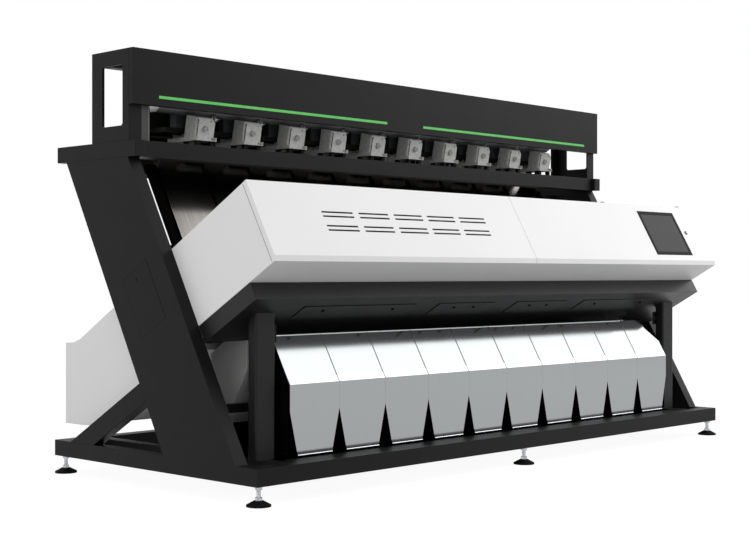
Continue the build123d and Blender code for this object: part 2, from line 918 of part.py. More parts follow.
# Outlets
outlet_top_y = outlet_front_y + outlet_top_length * cos(radians(outlet_top_slope))
outlet_top_z = outlet_bend_z + outlet_top_length * sin(radians(outlet_top_slope))


def outlet_form(x, wall=0.0):
    # A spout that is the overlap of its side view and its front view
    side = [(outlet_front_y + wall, outlet_bottom), (outlet_front_y + wall, outlet_bend_z),
            (outlet_top_y + wall, outlet_top_z), (outlet_back_y - wall, outlet_top_z),
            (outlet_back_y - wall, outlet_bottom)]
    top_half = chute_pitch / 2 - outlet_seam / 2 - wall
    low_half = outlet_mouth / 2 - wall
    front = [(x - low_half, outlet_bottom), (x + low_half, outlet_bottom), (x + top_half, outlet_taper_z),
             (x + top_half, outlet_top_z), (x - top_half, outlet_top_z), (x - top_half, outlet_taper_z)]
    across = extrude(Plane.XZ.offset(-outlet_back_y) * make_face(Polyline(*front, close=True)),
                     amount=outlet_back_y - outlet_front_y)
    return prism(side, x - chute_pitch, x + chute_pitch) & across


def outlet_notch():
    # The corner cut from the top edge at the right end of the bank
    inner = bank_half - outlet_notch_width
    outer = bank_half + outlet_notch_width
    points = [(bank_half, outlet_notch_low), (inner, outlet_notch_high), (inner, 2 * outlet_notch_high),
              (outer, 2 * outlet_notch_high), (outer, outlet_notch_low)]
    return extrude(Plane.XZ.offset(-outlet_back_y - 1) * make_face(Polyline(*points, close=True)),
                   amount=outlet_back_y - outlet_front_y + 2)


def outlet(x):
    # Sheet spout, open at both ends, with a hem round its mouth and one along its top edge
    body = outlet_form(x) - outlet_form(x, outlet_sheet)
    low_half = outlet_mouth / 2 + outlet_hem_proud
    hem_top = outlet_bottom + outlet_hem
    hem = block(x - low_half, x + low_half, outlet_front_y - outlet_hem_proud, outlet_back_y,
                outlet_bottom, hem_top)
    hem -= block(x - low_half + outlet_hem_proud, x + low_half - outlet_hem_proud, outlet_front_y,
                 outlet_back_y + 1, outlet_bottom - 1, hem_top + 1)
    top_half = chute_pitch / 2 - outlet_seam
    body += block(x - top_half, x + top_half, outlet_top_y, outlet_top_y + outlet_top_hem,
                  outlet_top_z - outlet_sheet, outlet_top_z)
    body += hem - outlet_form(x)
    return body - outlet_notch() if x > bank_half - chute_pitch else body


def bank_rail(y):
    # Rail between the legs that carries the outlets or the trough
    return tube_x(-box_half, box_half, y, y + bank_rail_size, bank_rail_z, bank_rail_z + bank_rail_size,
                  tube_wall)


def outlet_bracket(side):
    # Angle bracket on the inner face of a post
    post_inner = post_outer_x - post_width
    plate = block(side * (post_inner - bracket_reach), side * post_inner, bracket_y,
                  bracket_y + bracket_sheet, bracket_low, bracket_high)
    foot = block(side * (post_inner - bracket_sheet), side * post_inner, bracket_y,
                 bracket_y + bracket_reach / 2, bracket_low, bracket_high)
    return plate + foot


# Trough behind the outlets
def drop_trough():
    # Sheet trough, open at the top and along its narrow mouth
    t = trough_sheet
    low_y = trough_front_y + (trough_knee_z - trough_bottom) * trough_taper
    outline = [(trough_front_y, trough_top), (trough_front_y, trough_knee_z), (low_y, trough_bottom),
               (trough_back_y, trough_bottom), (trough_back_y, trough_corner_z), (trough_corner_y,
                                                                                  trough_top)]
    body = shell(outline, t, -bank_half, bank_half)
    inner = bank_half - t
    body -= block(-inner, inner, trough_front_y + t, trough_corner_y - t, trough_top - 2 * t, trough_top + 1)
    body -= block(-inner, inner, low_y + t, trough_back_y - t, trough_bottom - 1, trough_bottom + 2 * t)
    lid = [(trough_corner_y - t, trough_top + 3 * t), (trough_corner_y - t, trough_top - 3 * t),
           (trough_back_y - t, trough_corner_z - 3 * t), (trough_back_y - t, trough_corner_z + 3 * t)]
    return body - prism(lid, -inner, inner)


# Rear optical box
rear_door_front_y = rear_back_y - rear_door_depth


rear_under_y = leg_foot_y + (box_low - (rear_bottom_z - base_top) * sin(slope)) / cos(slope)
rear_outline = [at(rear_high, rear_front), at(rear_high, rear_corner_b), (rear_shelf_y, rear_shelf_z),
                (rear_door_front_y - fit_gap, rear_shelf_z), (rear_door_front_y - fit_gap, rear_bottom_z),
                (rear_under_y, rear_bottom_z), at(box_low, rear_front)]
rear_hinge_z = rear_shelf_z + hinge_knuckle / 2 + hinge_running_gap


def rear_housing():
    # Sheet box behind the chutes, with a long window in front and an open back behind the doors
    t = rear_sheet
    body = shell(rear_outline, t, -box_half, box_half)
    body -= block(-box_half + t, box_half - t, rear_door_front_y - 2 * t, rear_door_front_y + 1,
                  rear_bottom_z + t, rear_shelf_z - t)
    return body - slab(glass_low, glass_high, rear_front - t - 1, rear_front + 1, -box_half + glass_margin,
                       box_half - glass_margin)


def rear_door(x0, x1):
    # Door tray at the back, hung from its top edge
    t = cover_sheet
    y0, y1 = rear_door_front_y, rear_back_y
    tray = block(x0, x1, y0, y1, rear_bottom_z, rear_shelf_z)
    tray -= block(x0 + t, x1 - t, y0 - 1, y1 - t, rear_bottom_z + t, rear_shelf_z - t)
    barrel, bore, low, high = door_knuckle(x0, x1, y0, rear_hinge_z)
    leaf = block(low, high, y0 + hinge_running_gap, y0 + hinge_leaf_width, rear_shelf_z,
                 rear_shelf_z + hinge_leaf)
    return tray + leaf + barrel - bore


def rear_hinge(x0, x1):
    # Fixed half on the shelf
    def strip(low, high, gap):
        return block(low, high, rear_door_front_y - hinge_leaf_width, rear_door_front_y - gap,
                     rear_shelf_z, rear_shelf_z + hinge_leaf)

    leaf = strip(x0 + hinge_inset, x1 - hinge_inset, hinge_knuckle / 2)
    return fixed_hinge(x0, x1, rear_door_front_y, rear_hinge_z, leaf,
                       lambda low, high: strip(low, high, hinge_running_gap))


# Inside the optical boxes
def window_pane(back):
    # Glass seated on the inner face of a housing wall, a little larger than the opening
    half = box_half - glass_margin + glass_seat
    return slab(glass_low - glass_seat, glass_high + glass_seat, back, back + glass_thickness, -half, half)


def camera_unit(x, forward, toward):
    # Camera body with a square hood round its lens, on the side towards the window
    half = camera_size / 2
    far = forward - toward * camera_length
    body = slab(camera_a - half, camera_a + half, min(forward, far), max(forward, far), x - half, x + half)
    tip = forward + toward * camera_hood_length
    half = camera_hood / 2
    hood = slab(camera_a - half, camera_a + half, min(forward, tip), max(forward, tip), x - half, x + half)
    half -= camera_hood_wall
    floor = tip - toward * camera_hood_depth
    over = tip + toward
    return body + hood - slab(camera_a - half, camera_a + half, min(floor, over), max(floor, over),
                              x - half, x + half)


def camera_tray(forward, toward):
    # Shelf that carries a row of cameras between the housing's end walls
    reach = box_half - max(box_sheet, rear_sheet) - fit_gap
    top = camera_a - camera_size / 2
    near = forward + toward * shelf_overhang
    far = forward - toward * (camera_length + shelf_overhang)
    return slab(top - camera_shelf, top, min(near, far), max(near, far), -reach, reach)


def lamp_tube(up, forward):
    reach = box_half - max(box_sheet, rear_sheet) - fit_gap
    y, z = at(up, forward)
    return rod_x(-reach, reach, y, z, lamp_diameter)


# Window wipers on round rails
wiper_low = glass_low - wiper_rail_margin
wiper_high = glass_high + wiper_rail_margin
wiper_left = -box_half + wiper_park


def wiper(middle):
    # Bar across the window that slides on two rails
    bar = slab(wiper_low - wiper_overhang, wiper_high + wiper_overhang, middle - wiper_depth / 2,
               middle + wiper_depth / 2, wiper_left, wiper_left + wiper_width)
    for up in (wiper_low, wiper_high):
        y, z = at(up, middle)
        bar -= rod_x(wiper_left - 1, wiper_left + wiper_width + 1, y, z,
                     wiper_rail_diameter + 2 * hinge_bore_gap)
    return bar


def wiper_rail(up, middle):
    y, z = at(up, middle)
    return rod_x(-box_half, box_half, y, z, wiper_rail_diameter)


# Every piece in its node
holes = stud_holes()
front_pane = box_back + box_sheet + fit_gap
rear_pane = rear_front - rear_sheet - fit_gap - glass_thickness
front_wipe = box_back - wiper_clear - wiper_depth / 2
rear_wipe = rear_front + wiper_clear + wiper_depth / 2
left_span = (-box_half, cover_split_x - cover_gap / 2)
right_span = (cover_split_x + cover_gap / 2, box_half)
seams = [(i + 1) * chute_pitch - bank_half for i in range(chute_count - 1)]

nodes = {
    "base_side_rail_left": [base_side_rail(-1) - holes],
    "base_side_rail_right": [base_side_rail(1) - holes],
    "base_cross_rails": [base_cross_rail(-half_depth, -half_depth + front_rail_depth) - holes,
                         base_cross_rail(half_depth - front_rail_depth, half_depth) - holes]
    + base_cross_members(),
    "base_sill_plate": [base_sill_plate()],
    "foot_pads": [foot_pad(x, y) for x, y in foot_places],
    "foot_studs": [foot_stud(x, y) for x, y in foot_places] + [foot_nut(x, y) for x, y in foot_places],
    "side_leg_left": [side_leg(-1)],
    "side_leg_right": [side_leg(1)],
    "leg_door_left": [leg_door(-1), leg_lock(-1)],
    "leg_door_right": [leg_door(1), leg_lock(1)],
    "rear_braces": [brace(-1), brace(1)],
    "front_post_left": [front_post(-1)],
    "front_post_right": [front_post(1)],
    "upper_side_beam_left": [upper_side_beam(-1)],
    "upper_side_beam_right": [upper_side_beam(1)],
    "upper_cross_rails": [upper_front_rail(), upper_rear_rail(), hood_rear_rail()],
    "hood_end_left": [hood_end(-1), cable_duct()],
    "hood_end_right": [hood_end(1)],
    "hood_fascia": [hood_fascia()],
    "light_strips": [light_strip(-1), light_strip(1)],
    "feed_hopper": [feed_hopper()],
    "hopper_clamps": [hopper_clamp(x) for x in seams],
    "feeder_drives": [feeder_drive(x + drive_offset) for x in chute_centres],
    "feeder_knobs": [feeder_knob(x + drive_offset - knob_offset) for x in chute_centres],
    "feeder_mounts": [feeder_mount(x + drive_offset) for x in chute_centres]
    + [feeder_spring(x + drive_offset, y) for x in chute_centres for y in spring_places_y],
    "feeder_feet": [foot for x in chute_centres for foot in feeder_feet(x + drive_offset)],
    "chutes": [chute(x) for x in chute_centres],
    "leg_cross_rails": [chute_rail(chute_rail_low), chute_rail(chute_rail_high),
                        bank_rail(outlet_back_y + fit_gap), bank_rail(trough_back_y + fit_gap)],
    "front_housing": [front_housing()],
    "front_cover_left": [front_cover_left()],
    "front_cover_right": [front_cover_right()],
    "cover_fittings": [button_collar()] + [cover_latch(box_half - inset) for inset in latch_insets],
    "touch_screen": [touch_screen()],
    "power_button": [power_button()],
    "cover_hinges": [hinge(*span) for hinge in (front_hinge, rear_hinge) for span in (left_span, right_span)],
    "ejector_beam": [ejector_beam()],
    "ejector_hatches": [ejector_hatch(side * near, side * far) for side in (-1, 1)
                        for near, far in (hatch_inner, hatch_outer)],
    "ejector_blocks": [ejector_block(x) for x in chute_centres],
    "outlets": [outlet(x) for x in chute_centres],
    "outlet_brackets": [outlet_bracket(-1), outlet_bracket(1)],
    "drop_trough": [drop_trough()],
    "rear_housing": [rear_housing()],
    "rear_door_left": [rear_door(*left_span)],
    "rear_door_right": [rear_door(*right_span)],
    "camera_units": [camera_unit(x, camera_b, -1) for x in chute_centres]
    + [camera_unit(x, rear_camera_b, 1) for x in chute_centres]
    + [camera_tray(camera_b, -1), camera_tray(rear_camera_b, 1)],
    "lamp_tubes": [lamp_tube(up, b) for up in (lamp_low, lamp_high)
                   for b in (box_back + lamp_offset, rear_front - lamp_offset)],
    "optical_windows": [window_pane(front_pane), window_pane(rear_pane)],
    "wiper_front": [wiper(front_wipe)],
    "wiper_rear": [wiper(rear_wipe)],
    "wiper_rails": [wiper_rail(up, b) for up in (wiper_low, wiper_high) for b in (front_wipe, rear_wipe)],
}
for number, centre in enumerate(chute_centres, start=1):
    nodes[f"feeder_tray_{number:02d}"] = [feeder_tray(centre)]

os.makedirs("parts", exist_ok=True)
for name, pieces in nodes.items():
    solids = [solid for piece in pieces for solid in piece.solids()]
    body = solids[0] if len(solids) == 1 else Compound(solids)
    export_step(Pos(0, frame_shift, 0) * body, f"parts/{name}.step")
print(len(nodes), "nodes")
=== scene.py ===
# Looks of the ten-chute rice sorter: finishes, small trim, light and camera around the fixed model.
# Metres. X runs along the machine, the front faces -Y, and the floor is Z = 0.
import json
from math import cos, pi, radians, sin

import bmesh
import bpy
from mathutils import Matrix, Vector


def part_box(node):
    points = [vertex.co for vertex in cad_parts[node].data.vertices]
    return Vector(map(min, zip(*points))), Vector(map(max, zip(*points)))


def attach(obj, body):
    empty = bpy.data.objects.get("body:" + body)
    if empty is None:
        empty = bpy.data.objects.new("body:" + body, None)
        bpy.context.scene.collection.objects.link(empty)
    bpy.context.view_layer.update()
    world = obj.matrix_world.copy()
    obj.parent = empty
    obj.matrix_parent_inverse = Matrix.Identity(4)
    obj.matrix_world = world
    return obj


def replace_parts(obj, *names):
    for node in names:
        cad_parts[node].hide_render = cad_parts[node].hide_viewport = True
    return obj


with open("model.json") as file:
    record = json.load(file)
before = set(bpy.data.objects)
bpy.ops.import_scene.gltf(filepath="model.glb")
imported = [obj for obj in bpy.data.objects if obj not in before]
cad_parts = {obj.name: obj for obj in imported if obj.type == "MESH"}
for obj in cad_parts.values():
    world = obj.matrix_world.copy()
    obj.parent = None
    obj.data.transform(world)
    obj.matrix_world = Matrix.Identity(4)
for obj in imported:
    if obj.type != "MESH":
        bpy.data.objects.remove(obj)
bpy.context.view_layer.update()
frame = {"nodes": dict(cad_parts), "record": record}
nodes = frame["nodes"]
MM = 0.001

# View of the photograph
camera_place = (-5.908, -5.320, 1.0227)
camera_turn = (89.969, 0.0, -46.035)
camera_lens = 66.15
sensor_width = 36.0

# Light
world_light = 0.79
key_place = (6.5, -4.0, 5.5)
key_size = (8.2, 6.4)
key_power = 320.0
side_place = (-7.0, -1.0, 4.2)
side_size = (4.0, 3.0)
side_power = 60.0
aim_point = (0.0, 0.0, 1.0)
floor_size = 60.0
floor_bounce = 0.46
floor_shadow = 0.12
floor_glow = 1.07

# Directions of the slanted boxes, from the legs' front foot
slope = radians(60.5)
leg_foot = Vector(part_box("side_leg_left")[0])
along = Vector((1, 0, 0))
ahead = Vector((0, -1, 0))
above = Vector((0, 0, 1))
uphill = Vector((0, cos(slope), sin(slope)))
outward = Vector((0, -sin(slope), cos(slope)))

# Directions of the feeder drives' leaning front plates
drive_lean = radians(11.3)
plate_out = Vector((0, -cos(drive_lean), -sin(drive_lean)))
plate_down = Vector((0, sin(drive_lean), -cos(drive_lean)))

# Ejector beam and outlets, in millimetres and degrees
screw_head = 18.0
screw_rise = 4.0
hatch_sheet = 4.0
hatch_screw_back = 40.0
hatch_screw_inset = 148.0
outlet_wall = 1.2
outlet_low_width = 222.0
outlet_top_length = 258.0
outlet_top_slope = 60.0
# Heights above the mouths over which the hem's painted shade fades out
outlet_hem = (21.0, 23.0)
seam_width = 5.0
seam_proud = 2.0
seam_spare = 1.0
bend_strip = 34.0
bend_strip_proud = 1.0
bead = 3.2
thumb_knob = 16.0
thumb_rise = 12.0
thumb_inset = 18.0
shield_sheet = 1.5
shield_gap = 2.0
shield_inset = 14.0
shield_lift = 6.0
shield_depth = 190.0
shield_height = 300.0

# Feeders and hood, in millimetres
# Heights above the hopper's lowest point over which its dust and painted shade fade to the bright sheet
spout_dust_and_shade = (70.0, 100.0)
drive_depth = 88.0
drive_margin = 5.0
drive_plate_width = 126.0
dial_sunk = 7.5
dial_skirt = 16.0
plate_screw = 8.0
plate_screw_rise = 2.0
plate_screw_left = 14.0
plate_screw_rows = ((12.0, 32.0), (100.0, 14.0))
plate_joint_inset = 8.0
plate_joint_start = 4.0
plate_joint_width = 5.0
plate_joint_length = 104.0
plate_joint_proud = 1.2
plate_flange = 2.5
plate_flange_short = 26.0
plate_flange_proud = 4.0
clamp_bolt = 22.0
clamp_web = 4.0
web_bolt_lift = 4.0
web_bolt_rise = 10.0
lip_bolt_back = 11.0
lip_bolt_rise = 12.0
bay_back_half = 1640.0
bay_back_gap = 4.0
bay_back_sheet = 3.0
bay_back_tray_gap = 3.0
bay_back_bead = 4.0
bay_back_bead_height = 1808.0
deck_half = 1812.0
deck_gap = 0.3
deck_sheet = 2.0
deck_inset = 4.0
deck_overlap = 8.0
deck_strip = 55.0
deck_strip_back = 436.0
deck_strip_step = 1.0
dust_sheet = 1.5
dust_gap = 8.0
dust_low = 12.0
dust_high = 24.0
dust_start = 5.0
duct_sheet = 1.0
duct_lip = 7.0
duct_fold = 2.0

# Front box: millimetres up the slope, ahead of the legs, and along the machine
cover_front = 618.0
cover_seam_low = 710.0
cover_seam_high = 1112.0
cover_seam_back = 588.5
cover_seam_front = 591.0
cover_seam_proud = 0.4
screen_low = 770.0
screen_high = 1068.0
screen_proud = 2.0
bezel_width = 17.0
bezel_proud = 0.8
gasket_width = 4.0
gasket_gap = 0.3
gasket_proud = 1.5
vent_start = 385.0
vent_reach = 1210.0
vent_low = 855.0
vent_high = 975.0
liner_sunk = 6.0
liner_sheet = 1.5

# Chutes and rear box: millimetres up the slope and ahead of the legs
chute_rail_gap = 2.0
chute_rail_width = 51.0
chute_rail_low = 1140.0
chute_rail_top = 1745.0
chute_rail_back = -231.0
chute_rail_front = -208.0
skirt_top = 704.0
skirt_drop = 34.0
skirt_back = -1082.0
skirt_low_back = -1014.0
skirt_front = -457.0
skirt_sheet = 2.0
door_lock = 22.0
door_lock_lift = 45.0
door_lock_places = (0.15, 0.5, 0.85)

# Sheets over the base, in millimetres
low_rail_limit = 400.0
apron_inset = 6.0
apron_gap = 0.3
base_sheet = 2.0
pan_half = 1674.0
pan_gap = 1.0
pan_drop = 19.0


def at(up, forward):
    # A point of the side view in metres, from millimetres up the chute direction and forward of the legs
    place = leg_foot + uphill * (up * MM) + outward * (forward * MM)
    return Vector((0.0, place.y, place.z))


# Materials
brushed = (1.0, 0.02, 0.02)


class Shader:
    """A material with its node tree, and short ways to add and join nodes."""

    def __init__(self, name):
        self.material = bpy.data.materials.new(name)
        self.material.use_nodes = True
        self.tree = self.material.node_tree
        self.bsdf = self.tree.nodes["Principled BSDF"]
        self.place = self.add("ShaderNodeTexCoord").outputs["Object"]

    def add(self, kind, **values):
        node = self.tree.nodes.new(kind)
        for key, value in values.items():
            setattr(node, key, value)
        return node

    def join(self, source, target):
        self.tree.links.new(source, target)

    def base(self, colour, metallic=0.0, roughness=0.5, **extra):
        self.bsdf.inputs["Base Color"].default_value = (*colour, 1.0)
        self.bsdf.inputs["Metallic"].default_value = metallic
        self.bsdf.inputs["Roughness"].default_value = roughness
        for key, value in extra.items():
            self.bsdf.inputs[key.replace("_", " ")].default_value = value

    def scaled(self, scale):
        mapping = self.add("ShaderNodeMapping")
        mapping.inputs["Scale"].default_value = scale
        self.join(self.place, mapping.inputs["Vector"])
        return mapping.outputs["Vector"]

    def noise(self, scale, detail=2.0, stretch=None):
        node = self.add("ShaderNodeTexNoise")
        node.inputs["Scale"].default_value = scale
        node.inputs["Detail"].default_value = detail
        self.join(self.scaled(stretch) if stretch else self.place, node.inputs["Vector"])
        return node.outputs["Fac"]

    def height(self, low, high):
        # 0 at one height and 1 at another
        parts = self.add("ShaderNodeSeparateXYZ")
        self.join(self.place, parts.inputs["Vector"])
        node = self.add("ShaderNodeMapRange")
        node.inputs["From Min"].default_value = low
        node.inputs["From Max"].default_value = high
        self.join(parts.outputs["Z"], node.inputs["Value"])
        return node.outputs["Result"]

    def between(self, source, low, high):
        node = self.add("ShaderNodeMapRange")
        node.inputs["To Min"].default_value = low
        node.inputs["To Max"].default_value = high
        self.join(source, node.inputs["Value"])
        return node.outputs["Result"]

    def ramp(self, source, dark, light, start=0.3, stop=0.7):
        ramp = self.add("ShaderNodeValToRGB")
        ramp.color_ramp.elements[0].color = (*dark, 1.0)
        ramp.color_ramp.elements[1].color = (*light, 1.0)
        ramp.color_ramp.elements[0].position = start
        ramp.color_ramp.elements[1].position = stop
        self.join(source, ramp.inputs["Fac"])
        return ramp.outputs["Color"]

    def blend(self, factor, first, second):
        mix = self.add("ShaderNodeMix", data_type="RGBA")
        self.join(factor, mix.inputs[0])
        self.join(first, mix.inputs[6])
        self.join(second, mix.inputs[7])
        return mix.outputs[2]

    def tint(self, colour):
        self.join(colour, self.bsdf.inputs["Base Color"])

    def rough(self, source, low, high):
        self.join(self.between(source, low, high), self.bsdf.inputs["Roughness"])

    def bump(self, source, height, strength=1.0):
        node = self.add("ShaderNodeBump")
        node.inputs["Distance"].default_value = height
        node.inputs["Strength"].default_value = strength
        self.join(source, node.inputs["Height"])
        self.join(node.outputs["Normal"], self.bsdf.inputs["Normal"])


def shaded(colour, share):
    return tuple(share * c for c in colour)


def powder_coat(name, colour, roughness, grain=0.00006, level=0.5, variation=0.88):
    # Baked powder paint: a fine orange peel and a faint change of shade
    s = Shader(name)
    s.base(colour, roughness=roughness, Specular_IOR_Level=level)
    s.tint(s.ramp(s.noise(1.7, 4.0), shaded(colour, variation), colour))
    s.rough(s.noise(9.0, 5.0), roughness - 0.05, roughness + 0.06)
    s.bump(s.noise(650.0, 2.0), grain)
    return s.material


def sheet_metal(name, dark, light, roughness, stretch, grain=0.00002, metallic=1.0, spread=0.05):
    # Rolled sheet with fine lines along one direction
    s = Shader(name)
    s.base(light, metallic=metallic, roughness=roughness)
    lines = s.noise(90.0, 6.0, stretch)
    s.tint(s.ramp(lines, dark, light))
    s.rough(s.noise(4.0, 3.0), roughness - spread, roughness + spread)
    s.bump(lines, grain)
    return s.material


def outlet_sheet(name, light, hem, hem_low, hem_high):
    # Polished sheet, painted darker on the hem round the mouths: painted shade
    s = Shader(name)
    s.base(light, metallic=1.0, roughness=0.10)
    lines = s.noise(160.0, 4.0, brushed)
    polished = s.ramp(lines, shaded(light, 0.97), light)
    shaded_hem = s.ramp(lines, shaded(hem, 0.9), hem)
    s.tint(s.blend(s.height(hem_low, hem_high), shaded_hem, polished))
    s.rough(s.noise(2.0, 3.0), 0.08, 0.13)
    s.bump(s.noise(3.0, 2.0, (1.0, 0.4, 0.4)), 0.00025)
    return s.material


def hopper_sheet(name, upper, lower, low, high):
    # Brushed sheet that darkens towards the spouts with rice dust and painted shade
    s = Shader(name)
    s.base(upper, metallic=0.15, roughness=0.45)
    lines = s.noise(70.0, 5.0, (1.0, 0.05, 0.05))
    bright = s.ramp(lines, shaded(upper, 0.85), upper)
    dust_and_shade = s.ramp(lines, shaded(lower, 0.7), lower)
    s.tint(s.blend(s.height(low, high), dust_and_shade, bright))
    s.rough(s.noise(6.0, 4.0), 0.38, 0.55)
    s.bump(lines, 0.00002)
    return s.material


def zinc_plate(name, dark, light, roughness=0.28):
    # Plated steel with small crystals
    s = Shader(name)
    s.base(light, metallic=1.0, roughness=roughness)
    cells = s.add("ShaderNodeTexVoronoi")
    cells.inputs["Scale"].default_value = 180.0
    s.join(s.place, cells.inputs["Vector"])
    s.tint(s.ramp(cells.outputs["Color"], dark, light, 0.2, 0.9))
    s.rough(s.noise(60.0, 3.0), roughness - 0.06, roughness + 0.1)
    s.bump(s.noise(400.0), 0.00003)
    return s.material


def rubber(name, colour):
    s = Shader(name)
    s.base(colour, roughness=0.75, Specular_IOR_Level=0.08)
    s.tint(s.ramp(s.noise(25.0, 4.0), shaded(colour, 0.7), colour))
    s.rough(s.noise(80.0), 0.66, 0.85)
    s.bump(s.noise(900.0), 0.00008)
    return s.material


def cast_paint(name, dark, light, roughness, grain=0.00018, level=0.5):
    # Painted casting: a pebbly skin under the paint, with fine specks
    s = Shader(name)
    s.base(light, roughness=roughness, Specular_IOR_Level=level)
    s.tint(s.ramp(s.noise(60.0, 6.0), dark, light))
    s.rough(s.noise(40.0, 3.0), roughness - 0.06, roughness + 0.08)
    s.bump(s.noise(420.0, 4.0), grain)
    return s.material


def light_lens(name, colour, glow):
    # Glowing diffuser: a little uneven, as a strip of small lamps behind plastic is
    s = Shader(name)
    s.base(colour, roughness=0.35, Specular_IOR_Level=0.2)
    lamps = s.noise(40.0, 1.0, (1.0, 0.05, 0.05))
    s.tint(s.ramp(lamps, shaded(colour, 0.9), colour))
    s.join(s.ramp(lamps, shaded(glow, 0.88), glow), s.bsdf.inputs["Emission Color"])
    s.bsdf.inputs["Emission Strength"].default_value = 1.0
    s.rough(s.noise(200.0), 0.3, 0.42)
    return s.material


def clear_glass(name, tint):
    s = Shader(name)
    s.base(tint, roughness=0.04, Transmission_Weight=0.9, IOR=1.5)
    s.rough(s.noise(6.0, 4.0), 0.02, 0.08)
    return s.material


def dark_glass(name, colour):
    # Touch panel: dark glass with a faint even haze
    s = Shader(name)
    s.base(colour, roughness=0.30, Specular_IOR_Level=0.03)
    s.tint(s.ramp(s.noise(3.0, 3.0), shaded(colour, 0.93), colour))
    s.rough(s.noise(12.0, 4.0), 0.26, 0.36)
    return s.material


# Finishes of the record's material slots, and those of single pieces
outlet_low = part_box("outlets")[0][2]
spout_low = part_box("feed_hopper")[0][2]
black = powder_coat("black_paint", (0.0080, 0.0080, 0.0082), 0.46, level=0.11)
white = powder_coat("white_paint", (0.85, 0.85, 0.85), 0.40, 0.00003, level=0.3, variation=0.975)
finishes = {
    "black_paint": black,
    "white_paint": white,
    "zinc": zinc_plate("zinc", (0.30, 0.31, 0.32), (0.62, 0.63, 0.64)),
    "pad_black": rubber("pad_black", (0.005, 0.005, 0.0055)),
    "rubber_black": rubber("rubber_black", (0.012, 0.012, 0.012)),
    "green_lens": light_lens("green_lens", (0.015, 0.070, 0.015), (0.095, 0.440, 0.095)),
    # The hopper's second colour is the spouts' dust and painted shade
    "hopper_steel": hopper_sheet("hopper_steel", (0.64, 0.64, 0.65), (0.045, 0.048, 0.050),
                                 *(spout_low + z * MM for z in spout_dust_and_shade)),
    # The outlets' second colour is the hem's painted shade
    "outlet_steel": outlet_sheet("outlet_steel", (0.335, 0.350, 0.355), (0.235, 0.24, 0.245),
                                 *(outlet_low + z * MM for z in outlet_hem)),
    "feeder_grey": cast_paint("feeder_grey", (0.43, 0.43, 0.425), (0.60, 0.60, 0.59), 0.42),
    "knob_grey": cast_paint("knob_grey", (0.30, 0.30, 0.30), (0.45, 0.45, 0.45), 0.30, 0.00008),
    "chute_metal": sheet_metal("chute_metal", (0.19, 0.18, 0.168), (0.235, 0.225, 0.213), 0.16, brushed),
    "screen_glass": dark_glass("screen_glass", (0.062, 0.062, 0.062)),
    "button_metal": zinc_plate("button_metal", (0.20, 0.20, 0.205), (0.32, 0.32, 0.325), 0.3),
    "valve_metal": sheet_metal("valve_metal", (0.45, 0.45, 0.46), (0.60, 0.60, 0.61), 0.34,
                               (1.0, 0.1, 0.1)),
    "camera_plastic": cast_paint("camera_plastic", (0.030, 0.030, 0.033), (0.045, 0.045, 0.048), 0.45),
    "lamp_plastic": powder_coat("lamp_plastic", (0.86, 0.86, 0.84), 0.25, 0.00001),
    "window_glass": clear_glass("window_glass", (0.93, 0.96, 0.95)),
}
# Near-black coat for the feeder trays and the sheets deep in the hood and behind the slots: painted shade
bay_shade_coat = powder_coat("bay_shade_coat", (0.0105, 0.0108, 0.0085), 0.6, level=0.08)
# Still darker coat for sheets put where there is only shade: painted shade
shade_coat = powder_coat("shade_coat", (0.0020, 0.0020, 0.0021), 0.8, level=0.02)
duct_coat = powder_coat("duct_coat", (0.045, 0.045, 0.043), 0.5, level=0.3)
duct_edge = powder_coat("duct_edge", (0.12, 0.12, 0.115), 0.4, level=0.4)
# Glossier copy of the black paint for the beam and its hatches; its lighter colour brightens the beam's
# shaded underside: painted light
beam_lit_coat = powder_coat("beam_lit_coat", (0.0105, 0.0105, 0.0108), 0.40, level=0.24)
post_coat = powder_coat("post_coat", (0.0150, 0.0150, 0.0154), 0.46, level=0.17)
trough_coat = powder_coat("trough_coat", (0.88, 0.88, 0.87), 0.45, level=0.5)
seam_steel = sheet_metal("seam_steel", (0.20, 0.205, 0.21), (0.24, 0.245, 0.25), 0.14, brushed)
crease_steel = sheet_metal("crease_steel", (0.42, 0.435, 0.44), (0.46, 0.475, 0.48), 0.12, brushed)
screw_black = cast_paint("screw_black", (0.0015, 0.0015, 0.0015), (0.003, 0.003, 0.003), 0.6, 0.00002, 0.02)
bezel_black = cast_paint("bezel_black", (0.018, 0.018, 0.019), (0.024, 0.024, 0.025), 0.5, 0.00004, 0.03)
bright_zinc = zinc_plate("bright_zinc", (0.62, 0.62, 0.63), (0.88, 0.88, 0.88), 0.20)
bright_edge = sheet_metal("bright_edge", (0.66, 0.68, 0.69), (0.74, 0.76, 0.77), 0.30, brushed)
fitting_grey = cast_paint("fitting_grey", (0.10, 0.10, 0.10), (0.15, 0.15, 0.15), 0.4, 0.00004)
node_finishes = {"base_sill_plate": black, "drop_trough": trough_coat, "cover_fittings": fitting_grey,
                 "hopper_clamps": bright_zinc}
node_finishes.update({node: beam_lit_coat for node in ("ejector_beam", "ejector_hatches")})
node_finishes.update({f"front_post_{side}": post_coat for side in ("left", "right")})
# The trays take the near-black bay coat: painted shade
node_finishes.update({f"feeder_tray_{i:02d}": bay_shade_coat for i in range(1, 11)})


def finish_nodes():
    # Each node takes the finish of its material slot in the record, or its own
    for entry in frame["record"]["subparts"]:
        obj = nodes[entry["node"]]
        obj.data.materials.clear()
        obj.data.materials.append(node_finishes.get(entry["node"], finishes[entry["material_slot"]]))


